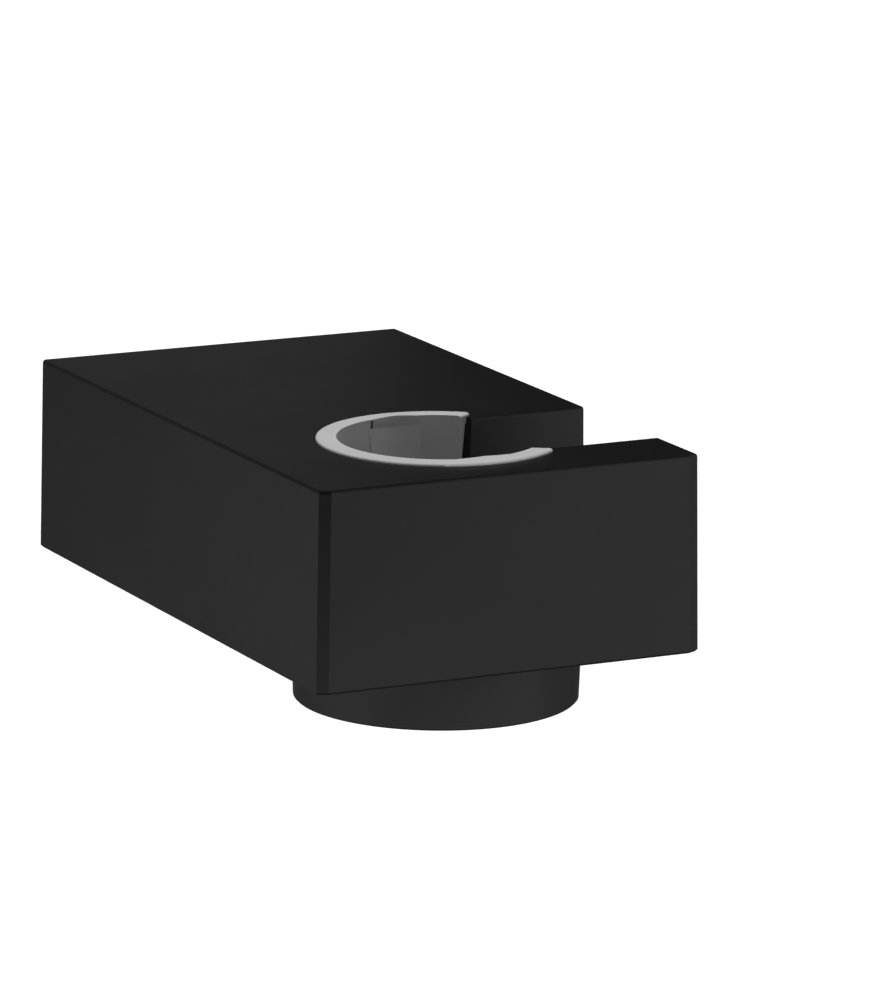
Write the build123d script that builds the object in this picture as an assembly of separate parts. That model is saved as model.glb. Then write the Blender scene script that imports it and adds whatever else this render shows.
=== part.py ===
from build123d import *
from math import radians, sin, tan
import os

os.makedirs("parts", exist_ok=True)

# Millimetres and degrees. X is to the right, Y goes into the wall, Z is up.
# The origin is the centre of the wall face.

# Cast body
BODY_WIDTH = 50.0
BODY_DEPTH = 81.3
BODY_HEIGHT = 24.0
BODY_DRAFT = 0.9
FRONT_BREAK = 1.3
SIDE_BREAK = 0.6
REAR_CORNER_R = 0.5
MOUTH_CORNER_R = 0.5
EDGE_R = 0.42
FOOT_EDGE = 0.3
SEAT_REACH = 61.65
SLOT_WIDTH = 18.6
SLOT_OFFSET = 0.25
COLLAR_R = 17.08
COLLAR_HEIGHT = 7.07
COLLAR_DRAFT = 1.8
COLLAR_EDGE = 0.2

# Tapered seat in the insert
SEAT_R = 12.14
SEAT_TAPER = 2.9
SLEEVE_R = 13.2
SLEEVE_TAPER = 1.5
SLEEVE_SETBACK = 0.4
WAIST_WALL = 0.7
ROOT_LENGTH = 5.0
FOOT_HEIGHT = 5.5
FLANGE_R = 14.62
FLANGE_PROUD = 0.36
FLANGE_SUNK = 0.84
FLANGE_EDGE_R = 0.3
FLANGE_TIP_R = 0.55
MOUTH_X = 7.53
MOUTH_Y = 9.41
MOUTH_FLARE = 30.8

# Snap bead that holds the insert in the collar
BEAD_PROUD = 0.4
BEAD_UP = 3.0

# Catch lips and grip ribs at the two sides of the seat
LIP_WIDTH = 6.5
LIP_R = 12.02
LIP_HEIGHT = 0.5
LIP_CROWN = 0.16
LIP_RAMP_R = 13.8
GROOVE_HEIGHT = 0.65
GROOVE_DEPTH = 0.03
NOTCH_WIDTH = 0.36
NOTCH_Y = 12.3
NOTCH_DOWN = 0.15
RIB_PROUD = 0.35
RIB_PEAK_DOWN = 10.0
RIB_LENGTH = 17.0
RIB_ROOT = 0.5

# Rear socket, core and wall bracket
SOCKET_WIDTH = 42.0
SOCKET_DEPTH = 8.0
SOCKET_CORNER_R = 2.0
BRACKET_THICK = 6.0
BRACKET_HEIGHT = 16.0
BRACKET_HOOK = 1.0
BRACKET_CORNER_R = 2.4
HANG_ROOM = 1.2
CORE_WIDTH = 38.0
CORE_HEIGHT = 15.0
CORE_END = 42.0
CORE_DRAFT = 1.0
CORE_CORNER = 2.5

# Wall screw holes
SCREW_SPACING = 28.0
SCREW_HOLE_R = 2.6
SCREW_SINK_R = 4.8

# Grub screw
GRUB_R = 2.5
GRUB_LENGTH = 5.2
GRUB_RECESS = 0.5
GRUB_TIP_R = 0.6
GRUB_KEY = 2.5
GRUB_KEY_DEPTH = 2.2
GRUB_CHAMFER = 0.35

# Clearances
SLIP = 0.05
SIDE_ROOM = 0.3
FLANGE_ROOM = 0.1

# Overlap of cutting shapes, and reach when an edge is picked by place
OVER = 1.0
NEAR = 1.5

TOP = BODY_HEIGHT / 2
BOTTOM = -TOP
RIM = TOP + FLANGE_PROUD
COLLAR_END = BOTTOM - COLLAR_HEIGHT
SLEEVE_END = COLLAR_END + SLEEVE_SETBACK
FLANGE_UNDER = TOP - FLANGE_SUNK
SEAT = Pos(0, -SEAT_REACH, 0)


def seat_radius(z):
    """Radius of the tapered seat at height z."""
    return SEAT_R - (RIM - z) * tan(radians(SEAT_TAPER))


def sleeve_radius(z):
    """Outside radius of the sleeve at height z."""
    return SLEEVE_R - (FLANGE_UNDER - z) * tan(radians(SLEEVE_TAPER))


def turned(points):
    """Solid of revolution about the seat's axis, from points of radius and height."""
    profile = Plane.XZ * make_face(Polyline(*points, close=True))
    return revolve(profile, Axis.Z)


def upright(shape, hand, y):
    """Upright edges near y on the block's right side (hand 1) or left side (hand -1)."""
    found = []
    for edge in shape.edges():
        c = edge.center()
        on_side = c.X * hand > BODY_WIDTH / 2 - NEAR
        if on_side and abs(c.Y - y) < NEAR and edge.length > BODY_HEIGHT / 2 and abs(c.Z) < NEAR:
            found.append(edge)
    return found


def end_edges(shape, y):
    """Edges that run in depth at the shape's two ends, with their middle near y."""
    found = []
    for edge in shape.edges():
        c = edge.center()
        if abs(c.X) > NEAR and abs(c.Y - y) < NEAR:
            found.append(edge)
    return found


def mouth_wedge(room):
    """Plan of the gap between the insert's two ends, made narrower by room on each side."""
    apex = MOUTH_X - MOUTH_Y / tan(radians(MOUTH_FLARE)) + room / sin(radians(MOUTH_FLARE))
    reach = 2 * FLANGE_R
    half = (reach - apex) * tan(radians(MOUTH_FLARE))
    return make_face(Polyline((apex, 0), (reach, half), (reach, -half), close=True))


def flange_plan(room):
    """Plan of the flange with rounded tips, made larger by room all round."""
    plan = Circle(FLANGE_R + room) - Circle(SEAT_R - OVER) - mouth_wedge(room)
    tips = []
    for vertex in plan.vertices():
        if vertex.X > 0 and (vertex.X ** 2 + vertex.Y ** 2) ** 0.5 > SLEEVE_R:
            tips.append(vertex)
    return fillet(tips, FLANGE_TIP_R)


def bead_ring(room):
    """Snap bead round the sleeve's foot, a ridge with two slopes, made larger by room."""
    z = SLEEVE_END + BEAD_UP
    r = sleeve_radius(z)
    proud = BEAD_PROUD + room
    return turned([(r - proud, z - 2 * proud), (r + proud, z), (r - proud, z + 2 * proud)])


def at_both_sides(shape):
    """The shape, made at the wall side of the seat, and its mirror image at the front."""
    return shape + mirror(shape, Plane.XZ)


# Block with drafted sides and front, and flat breaks at its front corners
block = Pos(0, -BODY_DEPTH / 2, 0) * Box(BODY_WIDTH, BODY_DEPTH, BODY_HEIGHT)
left = block.faces().sort_by(Axis.X)[0]
right = block.faces().sort_by(Axis.X)[-1]
front = block.faces().sort_by(Axis.Y)[0]
block = draft([left, right, front], Plane.XY.offset(BOTTOM), BODY_DRAFT)
for hand in (-1, 1):
    front = block.faces().sort_by(Axis.Y)[0]
    block = chamfer(upright(block, hand, -BODY_DEPTH), FRONT_BREAK, SIDE_BREAK, reference=front)
    block = fillet(upright(block, hand, 0), REAR_CORNER_R)

# Hose slot, with a round end that lies inside the bore
slot_plan = Circle(SLOT_WIDTH / 2) + Pos(BODY_WIDTH / 2, 0) * Rectangle(BODY_WIDTH, SLOT_WIDTH)
slot_tall = BODY_HEIGHT + 2 * COLLAR_HEIGHT + 2 * OVER
slot = SEAT * Pos(0, SLOT_OFFSET, -slot_tall / 2) * extrude(slot_plan, slot_tall)
block = block - slot
for hand in (-1, 1):
    slot_wall = -SEAT_REACH + SLOT_OFFSET + hand * SLOT_WIDTH / 2
    block = fillet(upright(block, 1, slot_wall), MOUTH_CORNER_R)
block = fillet(block.faces().sort_by(Axis.Z)[-1].edges(), EDGE_R)
block = chamfer(block.faces().sort_by(Axis.Z)[0].edges(), FOOT_EDGE)

# Collar under the block, with its lower edge broken
collar_lean = tan(radians(COLLAR_DRAFT))
collar = SEAT * turned([
    (0, COLLAR_END),
    (COLLAR_R - COLLAR_EDGE, COLLAR_END),
    (COLLAR_R + COLLAR_EDGE * collar_lean, COLLAR_END + COLLAR_EDGE),
    (COLLAR_R + COLLAR_HEIGHT * collar_lean, BOTTOM),
    (0, BOTTOM),
])
body = block + (collar - slot)

# Bore, flange seat and bead groove for the insert
bore_top = TOP + OVER
bore_end = COLLAR_END - OVER
bore = turned([
    (0, bore_end),
    (sleeve_radius(bore_end) + SLIP, bore_end),
    (sleeve_radius(bore_top) + SLIP, bore_top),
    (0, bore_top),
])
flange_seat = Pos(0, 0, FLANGE_UNDER) * extrude(flange_plan(FLANGE_ROOM), FLANGE_SUNK + OVER)
body = body - SEAT * (bore + flange_seat + bead_ring(SLIP))

# Rear socket that hooks on the bracket, with a core behind it
bracket_foot = -BRACKET_HEIGHT / 2
hook_low = BRACKET_HEIGHT / 2 - BRACKET_HOOK
hook_slope = BRACKET_HOOK / BRACKET_THICK
socket_profile = Plane.YZ * make_face(Polyline(
    (OVER, bracket_foot - HANG_ROOM),
    (OVER, hook_low - OVER * hook_slope),
    (-SOCKET_DEPTH, hook_low + SOCKET_DEPTH * hook_slope),
    (-SOCKET_DEPTH, bracket_foot - HANG_ROOM),
    close=True,
))
socket = extrude(socket_profile, SOCKET_WIDTH / 2, both=True)
socket = fillet(end_edges(socket, (OVER - SOCKET_DEPTH) / 2), SOCKET_CORNER_R)
core_plan = chamfer(Rectangle(CORE_WIDTH, CORE_HEIGHT).vertices(), CORE_CORNER)
core = Plane.XZ * extrude(core_plan, CORE_END, taper=CORE_DRAFT)
body = body - socket - core

# Tapped hole for the grub screw
grub_y = -BRACKET_THICK / 2
grub_hole = Pos(0, grub_y, BOTTOM) * Cylinder(GRUB_R, 2 * (TOP + bracket_foot))
body = body - grub_hole

# Insert: sleeve with a thin waist, snap bead on its foot, flange, then the tapered seat through them
root_low = FLANGE_UNDER - ROOT_LENGTH
foot_top = SLEEVE_END + FOOT_HEIGHT
sleeve_core = seat_radius(SLEEVE_END) - OVER
insert = turned([
    (sleeve_core, SLEEVE_END),
    (sleeve_radius(SLEEVE_END), SLEEVE_END),
    (sleeve_radius(foot_top), foot_top),
    (seat_radius(foot_top) + WAIST_WALL, foot_top),
    (seat_radius(root_low) + WAIST_WALL, root_low),
    (SLEEVE_R, FLANGE_UNDER),
    (SLEEVE_R, RIM - FLANGE_PROUD),
    (sleeve_core, RIM - FLANGE_PROUD),
])
insert = insert + bead_ring(0) - Pos(0, 0, BOTTOM) * extrude(mouth_wedge(0), 3 * BODY_HEIGHT, both=True)
flange = Pos(0, 0, FLANGE_UNDER) * extrude(flange_plan(0), FLANGE_PROUD + FLANGE_SUNK)
flange_top = flange.faces().sort_by(Axis.Z)[-1]
flange = fillet(flange_top.edges(), FLANGE_EDGE_R)
insert = insert + flange
insert = insert - turned([
    (0, SLEEVE_END - OVER),
    (seat_radius(SLEEVE_END - OVER), SLEEVE_END - OVER),
    (seat_radius(RIM + OVER), RIM + OVER),
    (0, RIM + OVER),
])

# Catch lip with a shallow crown that slopes down to the flange, over a groove
half_lip = LIP_WIDTH / 2
lip_low = RIM - LIP_HEIGHT
lip_front = Plane.XZ * make_face(Polyline(
    (-half_lip, lip_low),
    (-half_lip, RIM),
    (0, RIM + LIP_CROWN),
    (half_lip, RIM),
    (half_lip, lip_low),
    close=True,
))
lip_ring = turned([
    (LIP_R, lip_low),
    (LIP_R, RIM + LIP_CROWN),
    (LIP_RAMP_R, RIM),
    (LIP_RAMP_R, lip_low),
])
lip = extrude(lip_front, -FLANGE_R) & lip_ring
groove_low = lip_low - GROOVE_HEIGHT
groove = turned([
    (seat_radius(groove_low) - OVER, groove_low),
    (seat_radius(groove_low) + GROOVE_DEPTH, groove_low),
    (seat_radius(lip_low) + GROOVE_DEPTH, lip_low),
    (seat_radius(lip_low) - OVER, lip_low),
])
groove = groove & Pos(0, SEAT_R, RIM) * Box(LIP_WIDTH, SEAT_R, BODY_HEIGHT)

# Small relief notch at one end of the lip and groove
notch_top = RIM - NOTCH_DOWN
relief = Pos(-half_lip, NOTCH_Y - OVER, groove_low) * Box(
    NOTCH_WIDTH, OVER, notch_top - groove_low, align=(Align.MIN, Align.MIN, Align.MIN)
)

# Grip rib with sloped flanks, which swells inwards below the groove and fades into the seat
peak_z = groove_low - RIB_PEAK_DOWN
rib_end = groove_low - RIB_LENGTH
rib = turned([
    (seat_radius(groove_low), groove_low),
    (seat_radius(peak_z) - RIB_PROUD, peak_z),
    (seat_radius(rib_end), rib_end),
    (seat_radius(rib_end) + RIB_ROOT, rib_end),
    (seat_radius(groove_low) + RIB_ROOT, groove_low),
])
flank_y = (seat_radius(groove_low - RIB_PEAK_DOWN / 2) ** 2 - half_lip ** 2) ** 0.5
rib_plan = make_face(Polyline(
    (-half_lip - NEAR, flank_y + NEAR),
    (half_lip + NEAR, flank_y + NEAR),
    (half_lip - NEAR, flank_y - NEAR),
    (-half_lip + NEAR, flank_y - NEAR),
    close=True,
))
rib = rib & extrude(rib_plan, 2 * BODY_HEIGHT, both=True)
insert = insert - at_both_sides(groove) + at_both_sides(lip) + at_both_sides(rib)
insert = SEAT * (insert - at_both_sides(relief))

# Wall bracket with a hooked top, two countersunk holes and a groove for the grub screw
bracket_profile = Plane.YZ * make_face(Polyline(
    (0, bracket_foot),
    (0, hook_low),
    (-BRACKET_THICK, hook_low + BRACKET_HOOK),
    (-BRACKET_THICK, bracket_foot),
    close=True,
))
bracket = extrude(bracket_profile, SOCKET_WIDTH / 2 - SIDE_ROOM, both=True)
bracket = fillet(end_edges(bracket, -BRACKET_THICK / 2), BRACKET_CORNER_R)
sink_deep = SCREW_SINK_R - SCREW_HOLE_R
for hand in (-1, 1):
    hole = Cylinder(SCREW_HOLE_R, 4 * BRACKET_THICK)
    sink = Pos(0, 0, BRACKET_THICK - sink_deep / 2) * Cone(SCREW_HOLE_R, SCREW_SINK_R, sink_deep)
    bracket = bracket - Plane.XZ * Pos(hand * SCREW_SPACING / 2, 0) * (hole + sink)

# Grub screw with a cone point that sits in the bracket's groove
grub_foot = BOTTOM + GRUB_RECESS
grub_tip = grub_foot + GRUB_LENGTH
shank_r = GRUB_R - SLIP
grub = turned([
    (0, grub_foot),
    (shank_r - GRUB_CHAMFER, grub_foot),
    (shank_r, grub_foot + GRUB_CHAMFER),
    (shank_r, grub_tip - (shank_r - GRUB_TIP_R)),
    (GRUB_TIP_R, grub_tip),
    (0, grub_tip),
])
key = extrude(RegularPolygon(GRUB_KEY / 2, 6, major_radius=False), GRUB_KEY_DEPTH)
grub = Pos(0, grub_y, 0) * (grub - Pos(0, 0, grub_foot) * key)
point_apex = grub_tip + GRUB_TIP_R + SLIP
notch_half = point_apex - bracket_foot + OVER
notch = Plane.YZ * make_face(Polyline(
    (grub_y, point_apex),
    (grub_y - notch_half, bracket_foot - OVER),
    (grub_y + notch_half, bracket_foot - OVER),
    close=True,
))
bracket = bracket - extrude(notch, 2 * GRUB_R, both=True)

export_step(body, "parts/holder_body.step")
export_step(insert, "parts/cone_insert.step")
export_step(bracket, "parts/wall_bracket.step")
export_step(grub, "parts/grub_screw.step")
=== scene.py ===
import bpy
import math
from mathutils import Matrix, Vector


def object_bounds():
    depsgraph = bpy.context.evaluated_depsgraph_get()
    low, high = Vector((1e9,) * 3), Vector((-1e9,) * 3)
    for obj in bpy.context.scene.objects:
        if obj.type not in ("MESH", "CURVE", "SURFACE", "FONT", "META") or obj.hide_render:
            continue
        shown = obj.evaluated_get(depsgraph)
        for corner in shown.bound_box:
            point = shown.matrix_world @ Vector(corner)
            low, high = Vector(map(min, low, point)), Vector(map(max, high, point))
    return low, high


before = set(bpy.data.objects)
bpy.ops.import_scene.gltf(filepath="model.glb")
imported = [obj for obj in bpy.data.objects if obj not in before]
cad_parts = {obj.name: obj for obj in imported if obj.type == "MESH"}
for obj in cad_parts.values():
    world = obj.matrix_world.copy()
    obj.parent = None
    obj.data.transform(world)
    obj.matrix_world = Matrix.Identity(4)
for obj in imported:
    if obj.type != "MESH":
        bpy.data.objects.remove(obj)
cad_low, cad_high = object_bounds()

# Metres and degrees in the part's own frame: X is to the right, Y goes into the wall, Z is up
MM = 0.001

# Camera, matched to the photo's edges; its lens is a focal length as Blender counts it
CAMERA_AZIMUTH = -26.801
CAMERA_ELEVATION = 13.035
CAMERA_ROLL = 0.666
CAMERA_DISTANCE = 780.6 * MM
CAMERA_LENS = 231.24
CAMERA_AIM = Vector((9.175, -45.182, 0.342)) * MM
CAMERA_CLIP_START = 0.01
CAMERA_CLIP_END = 100

# Finishes: two tints, a range of roughness, and noise as repeats in a metre and levels of detail
COAT_TINTS = ((0.0085, 0.0085, 0.0090), (0.0110, 0.0110, 0.0115))
COAT_ROUGHNESS = (0.44, 0.50)
COAT_SPECULAR = 0.25
COAT_CLOUD = (60, 3)
COAT_PEEL = (1600, 2)
COAT_PEEL_DEPTH = 0.004 * MM
COAT_GRAIN = (9000, 2)
COAT_GRAIN_DEPTH = 0.0015 * MM

PLASTIC_TINTS = ((0.52, 0.52, 0.525), (0.56, 0.56, 0.565))
PLASTIC_ROUGHNESS = (0.46, 0.54)
PLASTIC_SPECULAR = 0.40
PLASTIC_CLOUD = (90, 3)
PLASTIC_GRAIN = (7000, 3)
PLASTIC_GRAIN_DEPTH = 0.003 * MM

BRACKET_TINTS = ((0.50, 0.50, 0.51), (0.60, 0.60, 0.61))
BRACKET_ROUGHNESS = (0.36, 0.48)
SCREW_TINTS = ((0.28, 0.28, 0.29), (0.36, 0.36, 0.37))
SCREW_ROUGHNESS = (0.28, 0.40)
STEEL_CLOUD = (140, 4)
STEEL_DENTS = (5000, 2)
STEEL_DENT_DEPTH = 0.008 * MM

# Middle part of the noise, which is spread over a whole range of roughness
NOISE_SPAN = (0.3, 0.7)

# Floor: shade in the light between surfaces, shade where it is seen, and its own white by distance
FLOOR_DROP = 90 * MM
FLOOR_SIZE = 30.0
FLOOR_SHADE = 0.08
FLOOR_SHADOWED = 0.35
FLOOR_GLOW = (0.8, 1.0)
FLOOR_GLOW_REACH = (0.25, 0.80)

# Surroundings: their shade where they are seen, and in the light between surfaces
WORLD_WHITE = 1.0
WORLD_FILL = 0.02

# Ways that a card can face
UP = (0, 0, 1)
DOWN = (0, 0, -1)
TO_WALL = (0, 1, 0)
TO_ROOM = (0, -1, 0)
TO_RIGHT = (1, 0, 0)
TO_LEFT = (-1, 0, 0)

# Soft lights: name, azimuth, elevation and distance from the holder's middle, width, height, watts
SOFTBOXES = [
    ("overhead", 115, 79, 1.5, 0.75, 0.75, 22.2),
    ("side_fill", -60, 10, 1.2, 0.6, 0.6, 1.3),
    ("under_fill", 180, -42, 0.095, 0.06, 0.05, 0.07),
]

# Painted reflections, cards that only reflections show, bright ones as painted highlights and dark ones as
# painted dark reflections: name, middle, way it faces, width and height, glow at its two ends
CARDS = [
    ("floor_painted_dark_reflection", (0.01, 0.01, -0.05), UP, (0.10, 0.22), (0.09, 0.09)),
    ("right_floor_painted_dark_reflection", (0.28, 0.12, -0.10), UP, (0.40, 0.40), (0.14, 0.14)),
    ("back_painted_dark_reflection", (0.10, 0.30, 0.18), TO_ROOM, (0.9, 0.34), (0.0, 0.0)),
    ("back_glow", (-0.12, 0.07, 0.08), TO_ROOM, (0.36, 0.15), (0.14, 0.14)),
    ("side_glow", (-0.17, 0.065, -0.06), TO_ROOM, (0.30, 0.13), (0.12, 1.3)),
    ("left_painted_dark_reflection", (-0.20, -0.18, 0.08), TO_RIGHT, (0.32, 0.26), (0.02, 0.02)),
    ("camera_painted_dark_reflection", (-0.09, -0.25, 0.08), TO_WALL, (0.20, 0.26), (0.02, 0.02)),
    ("top_painted_dark_reflection", (0.0, -0.04, 0.50), DOWN, (1.2, 1.2), (0.02, 0.02)),
    ("front_glow", (0.14, -0.21, 0.0), TO_WALL, (0.25, 0.22), (0.9, 2.6)),
    ("low_left_glow", (-0.20, -0.11, -0.08), TO_RIGHT, (0.20, 0.06), (2.3, 2.3)),
    ("low_glow", (-0.04, -0.115, -0.045), TO_WALL, (0.12, 0.05), (1.7, 1.7)),
    ("right_glow", (0.22, -0.10, 0.04), TO_LEFT, (0.40, 0.32), (0.9, 0.0)),
]


def grey(shade):
    """Neutral opaque colour."""
    return (shade, shade, shade, 1)


def empty_material(name):
    """New material with an empty node tree; returns both."""
    made = bpy.data.materials.new(name)
    made.use_nodes = True
    made.node_tree.nodes.clear()
    return made, made.node_tree


def send_out(tree, surface):
    """Makes a shader the material's surface."""
    output = tree.nodes.new("ShaderNodeOutputMaterial")
    tree.links.new(surface, output.inputs["Surface"])


def principled(name):
    """New material with one Principled shader; returns it, its node tree and the shader."""
    made, tree = empty_material(name)
    shader = tree.nodes.new("ShaderNodeBsdfPrincipled")
    send_out(tree, shader.outputs["BSDF"])
    return made, tree, shader


def object_place(tree):
    """Position in the object's own metres."""
    return tree.nodes.new("ShaderNodeTexCoord").outputs["Object"]


def noise(tree, repeats, detail):
    """Noise that is fixed to the object, as a value from 0 to 1."""
    texture = tree.nodes.new("ShaderNodeTexNoise")
    texture.inputs["Scale"].default_value = repeats
    texture.inputs["Detail"].default_value = detail
    tree.links.new(object_place(tree), texture.inputs["Vector"])
    return texture.outputs["Fac"]


def mapped(tree, value, source, target):
    """Value moved from the source range to the target range, and held at that range's ends."""
    ramp = tree.nodes.new("ShaderNodeMapRange")
    ramp.inputs["From Min"].default_value = source[0]
    ramp.inputs["From Max"].default_value = source[1]
    ramp.inputs["To Min"].default_value = target[0]
    ramp.inputs["To Max"].default_value = target[1]
    tree.links.new(value, ramp.inputs["Value"])
    return ramp.outputs["Result"]


def mixed_colour(tree, factor, first, second):
    """Colour that goes from the first to the second, by factor."""
    mix = tree.nodes.new("ShaderNodeMix")
    mix.data_type = "RGBA"
    mix.inputs["A"].default_value = first
    mix.inputs["B"].default_value = second
    tree.links.new(factor, mix.inputs["Factor"])
    return mix.outputs["Result"]


def mixed_shader(tree, factor, first, second):
    """Shader that goes from the first to the second, by factor."""
    mix = tree.nodes.new("ShaderNodeMixShader")
    tree.links.new(factor, mix.inputs["Fac"])
    tree.links.new(first, mix.inputs[1])
    tree.links.new(second, mix.inputs[2])
    return mix.outputs["Shader"]


def diffuse(tree, shade):
    """Matte shader of a neutral shade."""
    matte = tree.nodes.new("ShaderNodeBsdfDiffuse")
    matte.inputs["Color"].default_value = grey(shade)
    return matte.outputs["BSDF"]


def glow(tree, strength):
    """Shader that gives off white light of a varying strength."""
    emission = tree.nodes.new("ShaderNodeEmission")
    tree.links.new(strength, emission.inputs["Strength"])
    return emission.outputs["Emission"]


def bump(tree, value, depth, normal=None):
    """Bump of the given depth in metres, on top of another bump if one is given."""
    node = tree.nodes.new("ShaderNodeBump")
    node.inputs["Distance"].default_value = depth
    tree.links.new(value, node.inputs["Height"])
    if normal is not None:
        tree.links.new(normal, node.inputs["Normal"])
    return node.outputs["Normal"]


def vary(tree, shader, cloud, tints, roughness):
    """Colour and roughness that change a little over the surface, with the same cloudy noise."""
    dark, light = tints
    colour = mixed_colour(tree, cloud, (*dark, 1), (*light, 1))
    tree.links.new(colour, shader.inputs["Base Color"])
    tree.links.new(mapped(tree, cloud, NOISE_SPAN, roughness), shader.inputs["Roughness"])


def powder_coat():
    """Matte black powder coat: fine orange peel over a casting, with small changes of gloss."""
    made, tree, shader = principled("matte_black_coat")
    vary(tree, shader, noise(tree, *COAT_CLOUD), COAT_TINTS, COAT_ROUGHNESS)
    shader.inputs["Specular IOR Level"].default_value = COAT_SPECULAR
    peel = bump(tree, noise(tree, *COAT_PEEL), COAT_PEEL_DEPTH)
    grain = bump(tree, noise(tree, *COAT_GRAIN), COAT_GRAIN_DEPTH, peel)
    tree.links.new(grain, shader.inputs["Normal"])
    return made


def moulded_plastic():
    """Light grey moulded plastic with a fine matte texture."""
    made, tree, shader = principled("moulded_grey_plastic")
    vary(tree, shader, noise(tree, *PLASTIC_CLOUD), PLASTIC_TINTS, PLASTIC_ROUGHNESS)
    shader.inputs["Specular IOR Level"].default_value = PLASTIC_SPECULAR
    grain = bump(tree, noise(tree, *PLASTIC_GRAIN), PLASTIC_GRAIN_DEPTH)
    tree.links.new(grain, shader.inputs["Normal"])
    return made


def blasted_steel(name, tints, roughness):
    """Bead-blasted steel: small dents, and patches of different gloss."""
    made, tree, shader = principled(name)
    vary(tree, shader, noise(tree, *STEEL_CLOUD), tints, roughness)
    shader.inputs["Metallic"].default_value = 1.0
    dents = bump(tree, noise(tree, *STEEL_DENTS), STEEL_DENT_DEPTH)
    tree.links.new(dents, shader.inputs["Normal"])
    return made


def dress(node, made):
    """Gives a CAD node its material, in the one slot that it has."""
    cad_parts[node].data.materials[0] = made


def seen_factor(tree):
    """One for what the camera, glossy surfaces and clear ones see, zero for the light between surfaces."""
    path = tree.nodes.new("ShaderNodeLightPath")
    total = path.outputs["Is Camera Ray"]
    for name in ("Is Glossy Ray", "Is Transmission Ray"):
        larger = tree.nodes.new("ShaderNodeMath")
        larger.operation = "MAXIMUM"
        tree.links.new(total, larger.inputs[0])
        tree.links.new(path.outputs[name], larger.inputs[1])
        total = larger.outputs["Value"]
    return total


def glow_by_distance(tree):
    """Strength of the floor's own white: lower round the holder, where its shadow falls."""
    length = tree.nodes.new("ShaderNodeVectorMath")
    length.operation = "LENGTH"
    tree.links.new(object_place(tree), length.inputs[0])
    return mapped(tree, length.outputs["Value"], FLOOR_GLOW_REACH, FLOOR_GLOW)


def floor_white():
    """White that keeps the shadow where it is seen from above, and is clear from below."""
    made, tree = empty_material("white_floor")
    white = tree.nodes.new("ShaderNodeAddShader")
    tree.links.new(diffuse(tree, FLOOR_SHADOWED), white.inputs[0])
    tree.links.new(glow(tree, glow_by_distance(tree)), white.inputs[1])
    from_above = mixed_shader(tree, seen_factor(tree), diffuse(tree, FLOOR_SHADE), white.outputs["Shader"])
    clear = tree.nodes.new("ShaderNodeBsdfTransparent")
    side = tree.nodes.new("ShaderNodeNewGeometry")
    send_out(tree, mixed_shader(tree, side.outputs["Backfacing"], from_above, clear.outputs["BSDF"]))
    return made


def lay_floor():
    """Floor some way below the holder, which hangs on a wall."""
    bpy.ops.mesh.primitive_plane_add(size=FLOOR_SIZE, location=(0, 0, cad_low.z - FLOOR_DROP))
    floor = bpy.context.object
    floor.name = "floor"
    floor.data.materials.append(floor_white())


def light_world():
    """White surroundings, with a low fill for the light between surfaces."""
    world = bpy.data.worlds.new("studio")
    bpy.context.scene.world = world
    world.use_nodes = True
    tree = world.node_tree
    shade = mixed_colour(tree, seen_factor(tree), grey(WORLD_FILL), grey(WORLD_WHITE))
    tree.links.new(shade, tree.nodes["Background"].inputs["Color"])


def way_to(azimuth, elevation):
    """Unit vector from the holder's middle, with azimuth 0 in front and positive to the right."""
    turn = math.radians(azimuth)
    rise = math.radians(elevation)
    return Vector((math.sin(turn) * math.cos(rise), -math.cos(turn) * math.cos(rise), math.sin(rise)))


def set_up(thing, place, toward):
    """Puts a light or a card in the scene, turned to face a direction."""
    thing.location = place
    thing.rotation_mode = "QUATERNION"
    thing.rotation_quaternion = Vector(toward).to_track_quat("-Z", "Y")
    bpy.context.scene.collection.objects.link(thing)


def softbox(name, azimuth, elevation, distance, width, height, watts):
    """Rectangular soft light that faces the holder's middle; reflections show the painted reflection cards
    instead.
    """
    lamp = bpy.data.lights.new(name, "AREA")
    lamp.shape = "RECTANGLE"
    lamp.size = width
    lamp.size_y = height
    lamp.energy = watts
    light = bpy.data.objects.new(name, lamp)
    light.visible_camera = False
    light.visible_glossy = False
    way = way_to(azimuth, elevation)
    set_up(light, (cad_low + cad_high) / 2 + way * distance, -way)


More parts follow.
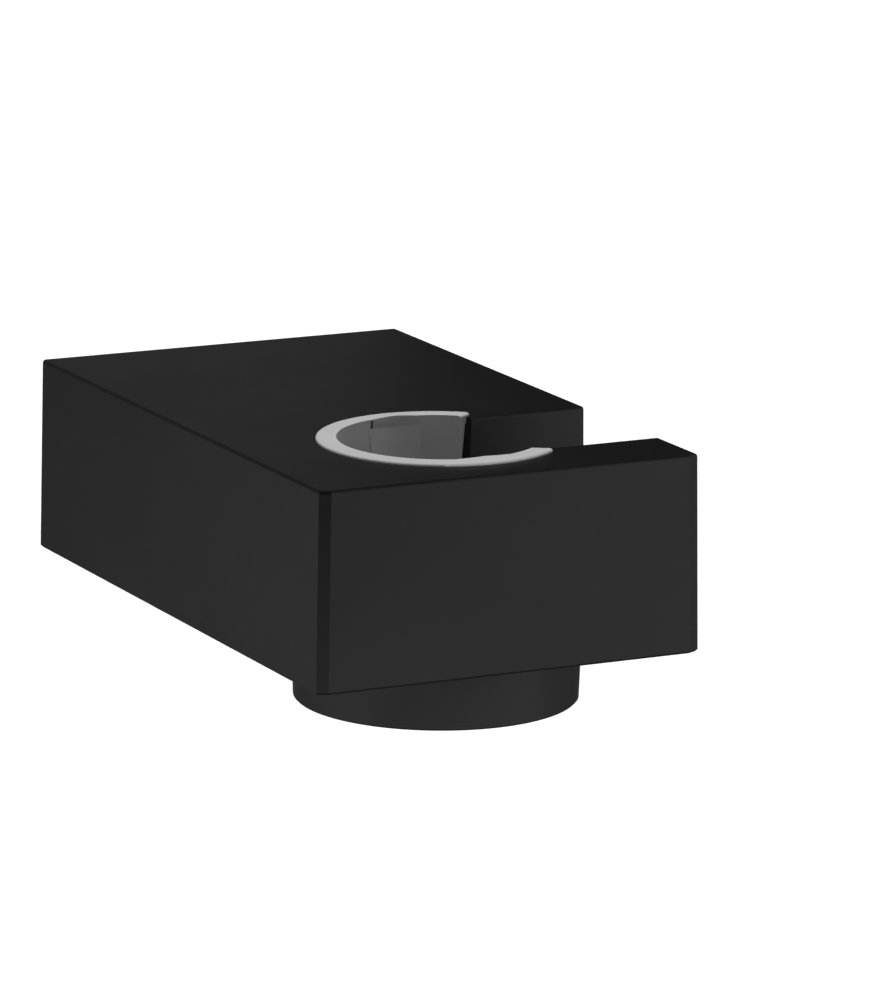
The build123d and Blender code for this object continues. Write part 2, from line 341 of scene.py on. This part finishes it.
def painted_reflection_glow(name, half_width, shades):
    """Painted reflection: glow that changes evenly along a card's width."""
    made, tree = empty_material(name)
    parts = tree.nodes.new("ShaderNodeSeparateXYZ")
    tree.links.new(object_place(tree), parts.inputs["Vector"])
    send_out(tree, glow(tree, mapped(tree, parts.outputs["X"], (-half_width, half_width), shades)))
    return made


def card(name, place, toward, size, shades):
    """Flat card that only reflections show: a painted reflection, bright or dark, that casts no shadow and
    lights nothing.
    """
    across = size[0] / 2
    along = size[1] / 2
    corners = [(-across, -along, 0), (across, -along, 0), (across, along, 0), (-across, along, 0)]
    mesh = bpy.data.meshes.new(name)
    mesh.from_pydata(corners, [], [(0, 1, 2, 3)])
    mesh.materials.append(painted_reflection_glow(name, across, shades))
    board = bpy.data.objects.new(name, mesh)
    board.visible_camera = False
    board.visible_diffuse = False
    board.visible_transmission = False
    board.visible_shadow = False
    set_up(board, place, toward)


def place_camera():
    """Camera at the photo's viewing angle, rolled a little about its own axis."""
    turn = math.radians(CAMERA_AZIMUTH)
    roll = math.radians(CAMERA_ROLL)
    back = way_to(CAMERA_AZIMUTH, CAMERA_ELEVATION)
    level = Vector((math.cos(turn), math.sin(turn), 0))
    upward = back.cross(level)
    right = level * math.cos(roll) + upward * math.sin(roll)
    up = upward * math.cos(roll) - level * math.sin(roll)
    stand = Matrix.Translation(CAMERA_AIM + back * CAMERA_DISTANCE)
    camera = bpy.data.objects.new("camera", bpy.data.cameras.new("camera"))
    camera.data.lens = CAMERA_LENS
    camera.data.clip_start = CAMERA_CLIP_START
    camera.data.clip_end = CAMERA_CLIP_END
    camera.matrix_world = stand @ Matrix((right, up, back)).transposed().to_4x4()
    bpy.context.scene.collection.objects.link(camera)
    bpy.context.scene.camera = camera


dress("holder_body", powder_coat())
dress("cone_insert", moulded_plastic())
dress("wall_bracket", blasted_steel("blasted_steel", BRACKET_TINTS, BRACKET_ROUGHNESS))
dress("grub_screw", blasted_steel("screw_steel", SCREW_TINTS, SCREW_ROUGHNESS))

lay_floor()
light_world()
for values in SOFTBOXES:
    softbox(*values)
# Painted reflections, bright and dark, that only glossy rays see
for values in CARDS:
    card(*values)
place_camera()
bpy.context.scene.view_settings.view_transform = "Standard"
